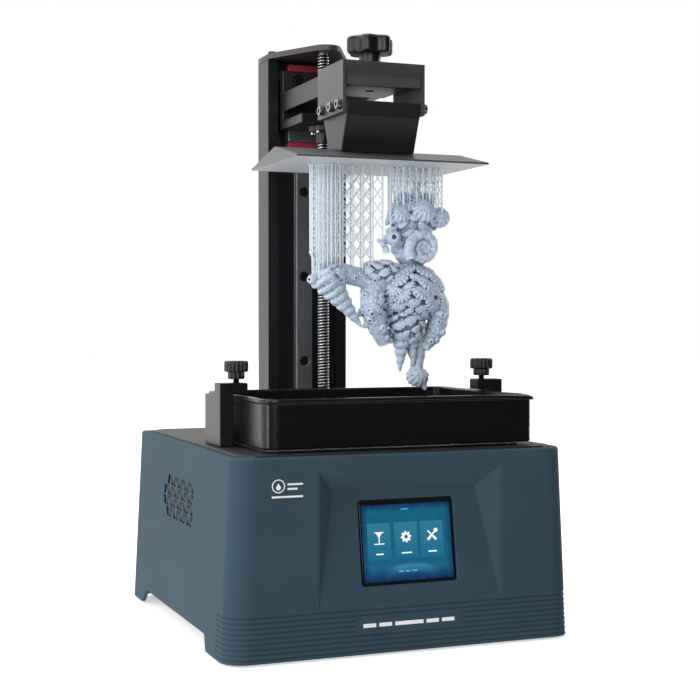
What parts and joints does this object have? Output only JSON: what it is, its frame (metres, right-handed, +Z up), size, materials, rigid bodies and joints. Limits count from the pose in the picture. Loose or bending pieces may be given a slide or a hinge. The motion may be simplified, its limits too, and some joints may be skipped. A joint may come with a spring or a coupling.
{
  "type": "desktop resin printer",
  "caption": "Desktop resin 3D printer: base with touch display and projector, black resin vat, column with lead screw, and a build platform with a print hanging from it.",
  "frame": {"origin": "on the ground under the middle of the base", "axes": "+Z up, -Y towards the front with the touch display, +X to the right seen from the front"},
  "size_m": [0.2218, 0.227, 0.379],
  "materials": {
    "shell_plastic": "satin moulded plastic, blue-grey",
    "top_plate_paint": "satin dark grey powder coat",
    "sheet_steel": "satin black powder coat",
    "black_plastic": "matte black",
    "vat_plastic": "gloss black",
    "knob_plastic": "satin black",
    "foot_rubber": "matte",
    "grey_plastic": "matte",
    "display_glass": "gloss, lit",
    "circuit_board": "satin",
    "window_glass": "polished",
    "mirror_glass": "polished",
    "black_aluminium": "black anodised, satin",
    "plate_aluminium": "sand-blasted with a fine cross-hatch",
    "rail_steel": "black oxide, ground",
    "bright_steel": "bright",
    "nut_polymer": "satin black acetal",
    "seal_red": "satin crimson",
    "film": "clear fluoropolymer film",
    "cured_resin": "satin, slightly translucent"
  },
  "bodies": {
    "base": {"base_shell": "shell_plastic", "bottom_plate": "sheet_steel", "cap_screw_left": "bright_steel", "cap_screw_right": "bright_steel", "column_cap": "sheet_steel", "display_board": "circuit_board", "fan_frame": "black_plastic", "fold_mirror": "mirror_glass", "light_window": "window_glass", "limit_sensor": "black_plastic", "linear_rail": "rail_steel", "main_board": "circuit_board", "mirror_mount": "grey_plastic", "power_inlet": "black_plastic", "power_switch_housing": "black_plastic", "projector_housing": "black_aluminium", "projector_lens": "window_glass", "rail_screw_1": "rail_steel", "rail_screw_2": "rail_steel", "rail_screw_3": "rail_steel", "rail_screw_4": "rail_steel", "rear_fan_grille": "black_plastic", "rubber_foot_front_left": "foot_rubber", "rubber_foot_front_right": "foot_rubber", "rubber_foot_rear_left": "foot_rubber", "rubber_foot_rear_right": "foot_rubber", "side_vent_grille": "shell_plastic", "top_plate": "top_plate_paint", "touch_display": "display_glass", "usb_port": "bright_steel", "vat_clamp_left": "top_plate_paint", "vat_clamp_right": "top_plate_paint", "z_column": "black_aluminium", "z_motor": "rail_steel"},
    "fan": {"fan_rotor": "black_plastic"},
    "power_rocker": {"power_switch_rocker": "black_plastic"},
    "z_screw": {"lead_screw": "bright_steel"},
    "z_carriage": {"carriage_block": "rail_steel", "block_seal_upper": "seal_red", "block_seal_lower": "seal_red", "carriage_arm": "black_aluminium", "lead_nut": "nut_polymer", "limit_flag": "bright_steel"},
    "platform_mount": {"platform_bracket": "sheet_steel", "levelling_screw_front_left": "bright_steel", "levelling_screw_front_right": "bright_steel", "levelling_screw_middle_left": "bright_steel", "levelling_screw_middle_right": "bright_steel", "levelling_screw_rear_left": "bright_steel", "levelling_screw_rear_right": "bright_steel"},
    "build_platform": {"platform_neck": "black_aluminium", "build_plate": "plate_aluminium", "printed_model": "cured_resin"},
    "platform_clamp": {"platform_knob": "knob_plastic", "platform_knob_screw": "bright_steel"},
    "vat": {"vat_frame": "vat_plastic", "vat_film": "film", "film_ring": "bright_steel"},
    "thumb_screw_left": {"vat_thumb_screw_left": "knob_plastic"},
    "thumb_screw_right": {"vat_thumb_screw_right": "knob_plastic"}
  },
  "joints": [
    {"name": "z_lift", "type": "slide", "parent": "base", "child": "z_carriage", "axis": [0, 0, 1], "range_m": [-0.167, 0], "deforming": ["printed_model"]},
    {"name": "lead_screw_turn", "type": "hinge", "parent": "base", "child": "z_screw", "pos_m": [0, 0.028, 0.24], "axis": [0, 0, 1], "range_deg": [-10, 30071]},
    {"name": "platform_release", "type": "slide", "parent": "z_carriage", "child": "platform_mount", "axis": [0, -1, 0], "range_m": [0, 0.09]},
    {"name": "platform_level", "type": "hinge", "parent": "platform_mount", "child": "build_platform", "pos_m": [0, -0.0595, 0.3237], "axis": [1, 0, 0], "range_deg": [-1.5, 1.5]},
    {"name": "platform_knob_turn", "type": "hinge", "parent": "platform_mount", "child": "platform_clamp", "pos_m": [0, -0.054, 0.36], "axis": [0, 0, 1], "range_deg": [0, 900]},
    {"name": "vat_slide", "type": "slide", "parent": "base", "child": "vat", "axis": [0, -1, 0], "range_m": [0, 0.13]},
    {"name": "left_thumb_screw_turn", "type": "hinge", "parent": "base", "child": "thumb_screw_left", "pos_m": [-0.083, -0.043, 0.16], "axis": [0, 0, 1], "range_deg": [0, 900]},
    {"name": "right_thumb_screw_turn", "type": "hinge", "parent": "base", "child": "thumb_screw_right", "pos_m": [0.083, -0.043, 0.16], "axis": [0, 0, 1], "range_deg": [0, 900]},
    {"name": "power_switch_rock", "type": "hinge", "parent": "base", "child": "power_rocker", "pos_m": [0.06, 0.11, 0.055], "axis": [0, 0, 1], "range_deg": [-20, 0]},
    {"name": "fan_spin", "type": "hinge", "parent": "base", "child": "fan", "pos_m": [-0.045, 0.1036, 0.064], "axis": [0, 1, 0], "continuous": true}
  ],
  "couplings": [
    {"joint": "lead_screw_turn", "follows": "z_lift", "rad_per_m": -3141.6}
  ]
}
